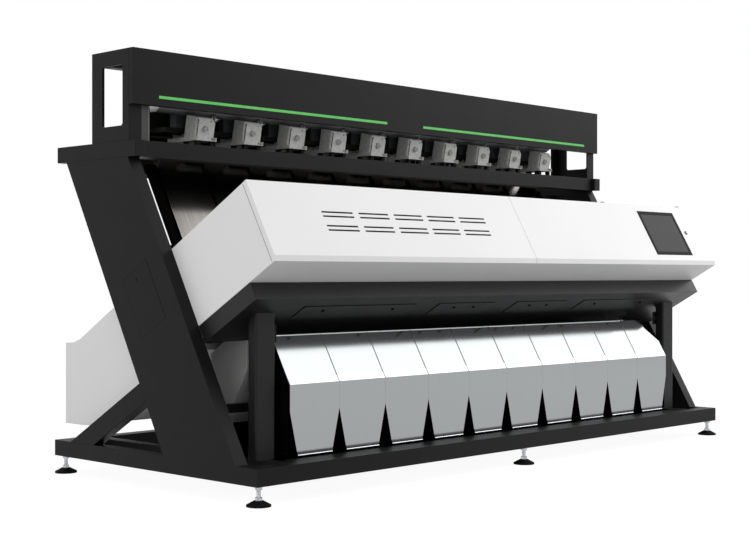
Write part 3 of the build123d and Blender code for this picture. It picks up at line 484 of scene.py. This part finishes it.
# Edge radii of the folded, welded and moulded pieces, in millimetres
edge_widths = {
    3.0: ("base_side_rail_left", "base_side_rail_right", "base_cross_rails"),
    2.5: ("side_leg_left", "side_leg_right", "rear_braces", "upper_side_beam_left", "upper_side_beam_right",
          "upper_cross_rails", "feeder_drives"),
    2.0: ("hood_fascia", "ejector_beam"),
    1.5: ("front_housing", "rear_housing"),
    1.2: ("hood_end_left", "hood_end_right", "front_cover_left", "front_cover_right", "rear_door_left",
          "rear_door_right"),
    1.0: ("base_sill_plate", "leg_door_left", "leg_door_right", "touch_screen", "ejector_hatches"),
    0.6: ("light_strips",),
}


def soften(obj, width):
    # Rounds the sharp edges without touching the model's own mesh
    weld = obj.modifiers.new("weld", "WELD")
    weld.merge_threshold = 0.00001
    planar = obj.modifiers.new("planar", "DECIMATE")
    planar.decimate_type = "DISSOLVE"
    planar.angle_limit = radians(0.5)
    round_edges(obj, width)


def round_edges(obj, width):
    bevel = obj.modifiers.new("edges", "BEVEL")
    bevel.width = width * MM
    bevel.segments = 2
    bevel.limit_method = "ANGLE"
    bevel.angle_limit = radians(35)


# Mesh helpers
def solids(node):
    # The corners of each separate solid of a node, from left to right
    mesh = bmesh.new()
    mesh.from_mesh(nodes[node].data)
    bmesh.ops.remove_doubles(mesh, verts=mesh.verts, dist=0.00001)
    waiting = set(mesh.verts)
    boxes = []
    while waiting:
        front = [waiting.pop()]
        group = list(front)
        while front:
            vert = front.pop()
            for edge in vert.link_edges:
                other = edge.other_vert(vert)
                if other in waiting:
                    waiting.remove(other)
                    front.append(other)
                    group.append(other)
        low = Vector(min(v.co[i] for v in group) for i in range(3))
        high = Vector(max(v.co[i] for v in group) for i in range(3))
        boxes.append((low, high))
    mesh.free()
    return sorted(boxes, key=lambda box: (round(box[0].x, 3), box[0].y))


def add_block(mesh, corner, *sides):
    # A block from one corner and three edge vectors
    a, b, c = sides
    places = [corner + i * a + j * b + k * c for k in (0, 1) for j in (0, 1) for i in (0, 1)]
    verts = [mesh.verts.new(p) for p in places]
    for face in ((0, 2, 3, 1), (4, 5, 7, 6), (0, 1, 5, 4), (2, 6, 7, 3), (0, 4, 6, 2), (1, 3, 7, 5)):
        mesh.faces.new([verts[i] for i in face])


def add_prism(mesh, points, x0, x1):
    # A solid between two places along the machine, from the corners of its side view
    rings = [[mesh.verts.new(Vector((x, p.y, p.z))) for p in points] for x in (x0, x1)]
    count = len(points)
    mesh.faces.new(rings[0])
    mesh.faces.new(rings[1])
    for i in range(count):
        j = (i + 1) % count
        mesh.faces.new((rings[0][i], rings[0][j], rings[1][j], rings[1][i]))


def add_frame(mesh, corner, wide, tall, deep, border):
    # A flat rectangular ring from one corner and three edge vectors
    across, up = wide.normalized() * border, tall.normalized() * border
    outer = [corner, corner + wide, corner + wide + tall, corner + tall]
    inner = [corner + across + up, corner + wide - across + up, corner + wide + tall - across - up,
             corner + tall + across - up]
    flat = ((lift, ring) for lift in (Vector(), deep) for ring in (outer, inner))
    rings = [[mesh.verts.new(p + lift) for p in ring] for lift, ring in flat]
    for first, second in ((0, 1), (1, 3), (3, 2), (2, 0)):
        for i in range(4):
            j = (i + 1) % 4
            mesh.faces.new((rings[first][i], rings[first][j], rings[second][j], rings[second][i]))


def add_turned(mesh, centre, axis, profile, steps=20, turn=0.0):
    # A turned solid from (radius, height) pairs in millimetres, which start and end on the axis
    side = axis.orthogonal().normalized()
    other = axis.cross(side).normalized()
    rings = []
    for radius, height in profile:
        spot = centre + axis * (height * MM)
        if radius == 0:
            rings.append([mesh.verts.new(spot)] * steps)
            continue
        ring = []
        for i in range(steps):
            angle = turn + 2 * pi * i / steps
            ring.append(mesh.verts.new(spot + (side * cos(angle) + other * sin(angle)) * (radius * MM)))
        rings.append(ring)
    for low, high in zip(rings, rings[1:]):
        for i in range(steps):
            j = (i + 1) % steps
            corners = list(dict.fromkeys((low[i], low[j], high[j], high[i])))
            mesh.faces.new(corners)


def add_rod(mesh, start, axis, length, radius):
    # A round edge with domed ends
    reach = length / MM
    dome = 0.3 * radius
    profile = [(0, 0), (0.7 * radius, 0), (radius, dome), (radius, reach - dome), (0.7 * radius, reach),
               (0, reach)]
    add_turned(mesh, start, axis, profile, steps=12)


def add_screw(mesh, centre, axis, diameter, rise):
    # Low domed head with a round socket
    half = diameter / 2
    add_turned(mesh, centre, axis, [(0, 0), (half, 0), (half, 0.4 * rise), (0.75 * half, 0.9 * rise),
                                    (0.45 * half, rise), (0.4 * half, 0.45 * rise), (0, 0.45 * rise)])


def add_bolt(mesh, centre, axis, across, rise):
    # Hexagon head on a washer
    half = across / 2
    add_turned(mesh, centre, axis, [(0, 0), (1.25 * half, 0), (1.25 * half, 0.2 * rise), (0, 0.2 * rise)])
    top = centre + axis * (0.2 * rise * MM)
    add_turned(mesh, top, axis, [(0, 0), (half, 0), (half, 0.65 * rise), (0.8 * half, 0.8 * rise),
                                 (0, 0.8 * rise)], steps=6, turn=pi / 6)


def piece(name, mesh, material, body="frame", width=0.0):
    # Makes the piece from its mesh, with its finish and slot, on its body
    bmesh.ops.recalc_face_normals(mesh, faces=mesh.faces)
    data = bpy.data.meshes.new(name)
    mesh.to_mesh(data)
    mesh.free()
    data.materials.append(material)
    obj = bpy.data.objects.new(name, data)
    bpy.context.scene.collection.objects.link(obj)
    if width:
        round_edges(obj, width)
    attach(obj, body)
    return obj


# Ejector beam and outlets
def hatch_screws():
    # Two screws in each access cover under the beam
    mesh = bmesh.new()
    for low, high in solids("ejector_hatches"):
        edge = Vector((0, low.y, high.z - hatch_sheet * MM * sin(slope)))
        for x in (low.x + hatch_screw_inset * MM, high.x - hatch_screw_inset * MM):
            spot = edge + along * x - outward * (hatch_screw_back * MM)
            add_screw(mesh, spot, -uphill, screw_head, screw_rise)
    piece("hatch_screws", mesh, screw_black)


outlet_places = solids("outlets")
outlet_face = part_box("outlets")[0][1]
outlet_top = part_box("outlets")[1][2]
top_slope = radians(outlet_top_slope)
top_run = Vector((0, cos(top_slope), sin(top_slope)))
top_out = Vector((0, -sin(top_slope), cos(top_slope)))
top_length = outlet_top_length * MM
bend = Vector((0, outlet_face + outlet_wall * MM, outlet_top - top_length * sin(top_slope)))


def outlet_trim():
    # Standing seams and the crease strip on the sloping tops, and the rolled edges
    seams = bmesh.new()
    for low, high in outlet_places[1:]:
        corner = bend + along * (low.x - seam_width / 2 * MM)
        add_block(seams, corner, along * (seam_width * MM), top_run * top_length,
                  top_out * (seam_proud * MM))
    piece("outlet_seams", seams, seam_steel, width=0.8)
    strips = bmesh.new()
    beads = bmesh.new()
    for low, high in outlet_places:
        length = high.x - low.x - (seam_width + seam_spare) * MM
        corner = bend + along * (low.x + (seam_width + seam_spare) / 2 * MM)
        add_block(strips, corner, along * length, top_run * (bend_strip * MM),
                  top_out * (bend_strip_proud * MM))
        if high.x < outlet_places[-1][1].x:
            top = bend + top_run * top_length + along * low.x
            add_rod(beads, top, along, high.x - low.x, bead)
        middle = (low.x + high.x) / 2
        half = (outlet_low_width / 2 + outlet_wall) * MM
        add_rod(beads, Vector((middle - half, outlet_face, outlet_low + bead * MM)), along, 2 * half, bead)
    piece("outlet_creases", strips, crease_steel, width=0.4)
    piece("outlet_beads", beads, bright_edge)


def bracket_knobs():
    # Thumb knobs on the brackets at both ends of the outlets
    mesh = bmesh.new()
    for low, high in solids("outlet_brackets"):
        for z in (low.z + thumb_inset * MM, high.z - thumb_inset * MM):
            spot = Vector(((low.x + high.x) / 2, low.y, z))
            add_turned(mesh, spot, ahead, [(0, 0), (thumb_knob / 2, 0), (thumb_knob / 2, 0.7 * thumb_rise),
                                           (0.35 * thumb_knob, thumb_rise), (0, thumb_rise)])
    piece("bracket_knobs", mesh, screw_black, width=0.5)


def outlet_end_shade_sheets():
    # Near-black sheets beside the first and the last outlet: painted shade on the outlets' end flanks
    low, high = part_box("outlets")
    mesh = bmesh.new()
    for x in (low[0] - (shield_gap + shield_sheet) * MM, high[0] + shield_gap * MM):
        corner = Vector((x, low[1] + shield_inset * MM, low[2] + shield_lift * MM))
        add_block(mesh, corner, along * (shield_sheet * MM), -ahead * (shield_depth * MM),
                  above * (shield_height * MM))
    piece("outlet_end_shade_sheets", mesh, shade_coat)


# Feeders and hood
def plate_point(low, high, down):
    # A point on a drive's leaning front plate, from the distance below the plate's top edge
    top = high.z - (drive_depth * sin(drive_lean) + drive_margin * cos(drive_lean)) * MM
    return Vector((0, low.y, top)) + plate_down * (down * MM)


def feeder_details():
    # Adjusting dials, the plates' corner screws and the hopper clamps' bolts
    profile = [(0, 0), (dial_skirt, 0), (dial_skirt, 8.5), (13.5, 12.5), (10.0, 12.5), (8.8, 8.5),
               (4.5, 9.5), (3.5, 13.0), (0, 13.0)]
    dials = bmesh.new()
    for low, high in solids("feeder_knobs"):
        centre = (low + high) / 2 - plate_out * (dial_sunk * MM)
        add_turned(dials, centre, plate_out, profile, steps=28)
    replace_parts(piece("feeder_dials", dials, finishes["knob_grey"]), "feeder_knobs")
    screws = bmesh.new()
    for low, high in solids("feeder_drives"):
        for down, right in plate_screw_rows:
            spot = plate_point(low, high, down)
            for x in (low.x + plate_screw_left * MM, high.x - right * MM):
                add_screw(screws, spot + along * x, plate_out, plate_screw, plate_screw_rise)
    piece("feeder_plate_screws", screws, fitting_grey)
    bolts = bmesh.new()
    for low, high in solids("hopper_clamps"):
        middle = (low.x + high.x) / 2
        web = Vector((middle, high.y - clamp_web * MM, (low.z + high.z) / 2 + web_bolt_lift * MM))
        add_bolt(bolts, web, ahead, clamp_bolt, web_bolt_rise)
        lip = Vector((middle, low.y + lip_bolt_back * MM, low.z))
        add_bolt(bolts, lip, -above, clamp_bolt, lip_bolt_rise)
    piece("clamp_bolts", bolts, bright_zinc)


def drive_edges():
    # A dark joint along each front plate's left edge, and a thin flange over its top
    joints, flanges = bmesh.new(), bmesh.new()
    for low, high in solids("feeder_drives"):
        top = plate_point(low, high, 0.0) + along * low.x
        corner = top + along * (plate_joint_inset * MM) + plate_down * (plate_joint_start * MM)
        add_block(joints, corner, along * (plate_joint_width * MM), plate_down * (plate_joint_length * MM),
                  plate_out * (plate_joint_proud * MM))
        sheet = plate_down * (plate_flange * MM)
        add_block(flanges, top - sheet, along * ((drive_plate_width - plate_flange_short) * MM), sheet,
                  plate_out * (plate_flange_proud * MM))
    piece("feeder_plate_joints", joints, screw_black)
    piece("feeder_plate_flanges", flanges, finishes["feeder_grey"], width=0.5)


def rail_top(node):
    # The top of a node's lowest rail
    return min(high.z for low, high in solids(node))


def bay_back():
    # Near-black sheet that closes the bay behind the feeders, under the hood's rear rail: painted shade
    # deep in the bay
    rail = max(solids("upper_cross_rails"), key=lambda box: box[1].z)
    y1 = rail[1].y - bay_back_gap * MM
    y0 = y1 - bay_back_sheet * MM
    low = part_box("feeder_tray_01")[1][2] + bay_back_tray_gap * MM
    half = bay_back_half * MM
    mesh = bmesh.new()
    add_block(mesh, Vector((-half, y0, low)), along * (2 * half), -ahead * (y1 - y0),
              above * (rail[0].z - low))
    shelf = rail_top("upper_cross_rails")
    tray_left, tray_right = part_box("feeder_tray_01")[0][0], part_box("feeder_tray_10")[1][0]
    gap = bay_back_tray_gap * MM
    for x0, x1 in ((-half, tray_left - gap), (tray_right + gap, half)):
        add_block(mesh, Vector((x0, y0, shelf)), along * (x1 - x0), -ahead * (y1 - y0),
                  above * (low - shelf))
    bead_side = bay_back_bead * MM
    fold = Vector((-half, y0 - bead_side, bay_back_bead_height * MM))
    add_block(mesh, fold, along * (2 * half), -ahead * bead_side, above * bead_side)
    piece("feeder_bay_back", mesh, bay_shade_coat, width=0.8)


def hood_floor():
    # Floor sheets of the hood beside the feeders, and a dust cover behind the trays' mouths, all
    # near-black: painted shade
    bank_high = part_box("chutes")[1]
    end_low, end_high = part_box("hood_end_left")
    floor = end_low[2] + deck_gap * MM
    front = min(solids("upper_cross_rails"), key=lambda box: box[0].y)[0].y + deck_inset * MM
    back = end_high[1] - deck_inset * MM
    inner = bank_high[0] - deck_overlap * MM
    sheet = above * (deck_sheet * MM)
    mesh = bmesh.new()
    for x0, x1 in ((-deck_half * MM, -inner), (inner, deck_half * MM)):
        add_block(mesh, Vector((x0, front, floor)), along * (x1 - x0), -ahead * (back - front), sheet)
    strip, step = deck_strip * MM, deck_strip_step * MM
    for x0 in (-inner - step, inner + step - strip):
        add_block(mesh, Vector((x0, front, floor)), along * strip, -ahead * (deck_strip_back * MM - front),
                  sheet)
    reach, thin = bank_high[0], dust_sheet * MM
    behind, start = bank_high[1] + dust_gap * MM, back + dust_start * MM
    low, high = floor + dust_low * MM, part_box("feeder_tray_01")[1][2] + dust_high * MM
    add_block(mesh, Vector((-reach, behind, low)), along * (2 * reach), -ahead * thin, above * (high - low))
    add_block(mesh, Vector((-reach, start, high)), along * (2 * reach), -ahead * (behind + thin - start),
              above * thin)
    piece("hood_floor_sheets", mesh, bay_shade_coat)


def duct_cover():
    # Lighter cover on the upright duct at the hood's left end, with a lighter folded edge
    low, high = min(solids("hood_end_left"), key=lambda box: box[1].x - box[0].x)
    tall = above * (high.z - low.z)
    mesh = bmesh.new()
    sheet = ahead * (duct_sheet * MM)
    add_block(mesh, low + sheet, along * (high.x - low.x - duct_lip * MM), -sheet, tall)
    piece("duct_cover", mesh, duct_coat)
    mesh = bmesh.new()
    corner = Vector((high.x - duct_lip * MM, low.y - duct_fold * MM, low.z))
    add_block(mesh, corner, along * (duct_lip * MM), -ahead * (duct_fold * MM), tall)
    piece("duct_edge_fold", mesh, duct_edge, width=0.6)


# Front box
def cover_seams():
    # The joint where each cover's end flange meets the housing
    corners = [at(cover_seam_low, cover_seam_back), at(cover_seam_low, cover_seam_front),
               at(cover_seam_high, cover_seam_front), at(cover_seam_high, cover_seam_back)]
    low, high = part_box("front_housing")
    for side, edge, outside in (("left", low[0], -1), ("right", high[0], 1)):
        x0, x1 = sorted((edge, edge + outside * cover_seam_proud * MM))
        mesh = bmesh.new()
        add_prism(mesh, corners, x0, x1)
        piece(f"cover_seam_{side}", mesh, fitting_grey, f"{side}_front_cover")


def screen_trim():
    # Dark border on the glass, and the rubber joint round the screen
    low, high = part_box("touch_screen")
    wide = along * (high[0] - low[0])
    tall = uphill * ((screen_high - screen_low) * MM)
    mesh = bmesh.new()
    corner = at(screen_low, cover_front + screen_proud) + along * low[0]
    add_frame(mesh, corner, wide, tall, outward * (bezel_proud * MM), bezel_width * MM)
    piece("screen_bezel", mesh, bezel_black, "right_front_cover")
    mesh = bmesh.new()
    border = gasket_width * MM
    corner = at(screen_low - gasket_width, cover_front) + along * (low[0] - border)
    add_frame(mesh, corner, wide + along * (2 * border), tall + uphill * (2 * border),
              outward * (gasket_proud * MM), border - gasket_gap * MM)
    piece("screen_gasket", mesh, screw_black, "right_front_cover")


def vent_liner():
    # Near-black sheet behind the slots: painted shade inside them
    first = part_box("front_cover_left")[0][0] + vent_start * MM
    mesh = bmesh.new()
    corner = at(vent_low, cover_front - liner_sunk) + along * first
    add_block(mesh, corner, along * (vent_reach * MM), uphill * ((vent_high - vent_low) * MM),
              outward * (liner_sheet * MM))
    piece("vent_liner", mesh, bay_shade_coat, "left_front_cover")


# Chutes and rear box
def chute_side_rails():
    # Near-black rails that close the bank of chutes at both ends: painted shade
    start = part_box("chutes")[1][0] + chute_rail_gap * MM
    corners = [at(chute_rail_low, chute_rail_back), at(chute_rail_low, chute_rail_front),
               at(chute_rail_top, chute_rail_front), at(chute_rail_top, chute_rail_back)]
    mesh = bmesh.new()
    for side in (-1, 1):
        x0, x1 = sorted((side * start, side * (start + chute_rail_width * MM)))
        add_prism(mesh, corners, x0, x1)
    piece("chute_side_rails", mesh, shade_coat, width=0.8)


def rear_skirts():
    # The end plates of the rear box reach a little below its slanted underside
    low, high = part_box("rear_housing")
    mesh = bmesh.new()
    bottom = skirt_top - skirt_drop
    corners = [at(skirt_top, skirt_back), at(skirt_top, skirt_front), at(bottom, skirt_front),
               at(bottom, skirt_low_back)]
    for x0, x1 in ((low[0], low[0] + skirt_sheet * MM), (high[0] - skirt_sheet * MM, high[0])):
        add_prism(mesh, corners, x0, x1)
    piece("rear_end_skirts", mesh, white)


def rear_locks():
    # Flush quarter-turn locks along the lower edge of the rear doors
    radius = door_lock / 2
    profile = [(0, -1.0), (radius, -1.0), (radius, 0.5), (0.8 * radius, 0.5), (0.7 * radius, 0.1), (0, 0.1)]
    for side in ("left", "right"):
        low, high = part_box(f"rear_door_{side}")
        mesh = bmesh.new()
        for share in door_lock_places:
            spot = Vector((low[0] + share * (high[0] - low[0]), high[1], low[2] + door_lock_lift * MM))
            add_turned(mesh, spot, -ahead, profile, steps=24)
        piece(f"rear_door_locks_{side}", mesh, bright_zinc, f"{side}_rear_door")


# Sheets over the base
def lower_sheets():
    # A near-black apron behind the outlets, and a pan between it and the sill: painted shade under the
    # machine
    rails = [box for box in solids("leg_cross_rails") if box[0].z < low_rail_limit * MM]
    low, high = max(rails, key=lambda box: box[0].y)
    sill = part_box("base_sill_plate")
    bottom = sill[1][2] - pan_drop * MM
    mesh = bmesh.new()
    corner = Vector((low.x + apron_inset * MM, high.y + apron_gap * MM, bottom))
    add_block(mesh, corner, along * (high.x - low.x - 2 * apron_inset * MM), -ahead * (base_sheet * MM),
              above * (high.z - bottom))
    piece("lower_apron", mesh, shade_coat)
    front = sill[1][1] + pan_gap * MM
    half = pan_half * MM
    mesh = bmesh.new()
    add_block(mesh, Vector((-half, front, bottom)), along * (2 * half), -ahead * (high.y - front),
              above * (base_sheet * MM))
    piece("base_pan", mesh, shade_coat)


# Camera, light and floor
def add_camera():
    data = bpy.data.cameras.new("camera")
    data.sensor_width = sensor_width
    data.lens = camera_lens
    data.clip_end = 200.0
    camera = bpy.data.objects.new("camera", data)
    camera.location = camera_place
    camera.rotation_euler = [radians(a) for a in camera_turn]
    bpy.context.scene.collection.objects.link(camera)
    bpy.context.scene.camera = camera


def add_area(name, place, size, power):
    data = bpy.data.lights.new(name, "AREA")
    data.shape = "RECTANGLE"
    data.size, data.size_y = size
    data.energy = power
    lamp = bpy.data.objects.new(name, data)
    lamp.location = place
    lamp.rotation_euler = (Vector(aim_point) - Vector(place)).to_track_quat("-Z", "Y").to_euler()
    bpy.context.scene.collection.objects.link(lamp)


def seen_rays(tree):
    # 1 where the camera, a reflection or a clear piece looks at the surface, and 0 for its light
    path = tree.nodes.new("ShaderNodeLightPath")
    total = path.outputs["Is Camera Ray"]
    for ray in ("Is Glossy Ray", "Is Transmission Ray"):
        add = tree.nodes.new("ShaderNodeMath")
        add.operation = "MAXIMUM"
        tree.links.new(total, add.inputs[0])
        tree.links.new(path.outputs[ray], add.inputs[1])
        total = add.outputs["Value"]
    return total


def add_world():
    world = bpy.data.worlds.new("studio")
    bpy.context.scene.world = world
    world.use_nodes = True
    tree = world.node_tree
    light = tree.nodes["Background"]
    light.inputs["Color"].default_value = (1.0, 1.0, 1.0, 1.0)
    light.inputs["Strength"].default_value = world_light
    seen = tree.nodes.new("ShaderNodeBackground")
    seen.inputs["Color"].default_value = (1.0, 1.0, 1.0, 1.0)
    seen.inputs["Strength"].default_value = 1.0
    mix = tree.nodes.new("ShaderNodeMixShader")
    tree.links.new(seen_rays(tree), mix.inputs["Fac"])
    tree.links.new(light.outputs["Background"], mix.inputs[1])
    tree.links.new(seen.outputs["Background"], mix.inputs[2])
    tree.links.new(mix.outputs["Shader"], tree.nodes["World Output"].inputs["Surface"])


def add_floor():
    half = floor_size / 2
    mesh = bpy.data.meshes.new("floor")
    corners = [(-half, -half, 0), (half, -half, 0), (half, half, 0), (-half, half, 0)]
    mesh.from_pydata(corners, [], [(0, 1, 2, 3)])
    floor = bpy.data.objects.new("floor", mesh)
    bpy.context.scene.collection.objects.link(floor)
    material = bpy.data.materials.new("floor_paper")
    material.use_nodes = True
    tree = material.node_tree
    bounce = tree.nodes["Principled BSDF"]
    bounce.inputs["Base Color"].default_value = (floor_bounce, floor_bounce, floor_bounce, 1.0)
    bounce.inputs["Roughness"].default_value = 1.0
    bounce.inputs["Specular IOR Level"].default_value = 0.0
    shade = tree.nodes.new("ShaderNodeBsdfDiffuse")
    shade.inputs["Color"].default_value = (1.0, 1.0, 1.0, 1.0)
    glow = tree.nodes.new("ShaderNodeEmission")
    glow.inputs["Strength"].default_value = floor_glow
    pale = tree.nodes.new("ShaderNodeMixShader")
    pale.inputs["Fac"].default_value = 1.0 - floor_shadow
    tree.links.new(shade.outputs["BSDF"], pale.inputs[1])
    tree.links.new(glow.outputs["Emission"], pale.inputs[2])
    mix = tree.nodes.new("ShaderNodeMixShader")
    tree.links.new(seen_rays(tree), mix.inputs["Fac"])
    tree.links.new(bounce.outputs["BSDF"], mix.inputs[1])
    tree.links.new(pale.outputs["Shader"], mix.inputs[2])
    tree.links.new(mix.outputs["Shader"], tree.nodes["Material Output"].inputs["Surface"])
    mesh.materials.append(material)


# The scene
bpy.context.scene.view_settings.view_transform = "Standard"
add_camera()
add_world()
add_area("key_light", key_place, key_size, key_power)
add_area("side_light", side_place, side_size, side_power)
add_floor()
finish_nodes()
for width, names in edge_widths.items():
    for name in names:
        soften(nodes[name], width)
hatch_screws()
outlet_trim()
bracket_knobs()
feeder_details()
drive_edges()
bay_back()
chute_side_rails()
cover_seams()
duct_cover()
lower_sheets()
outlet_end_shade_sheets()
hood_floor()
rear_skirts()
screen_trim()
vent_liner()
rear_locks()
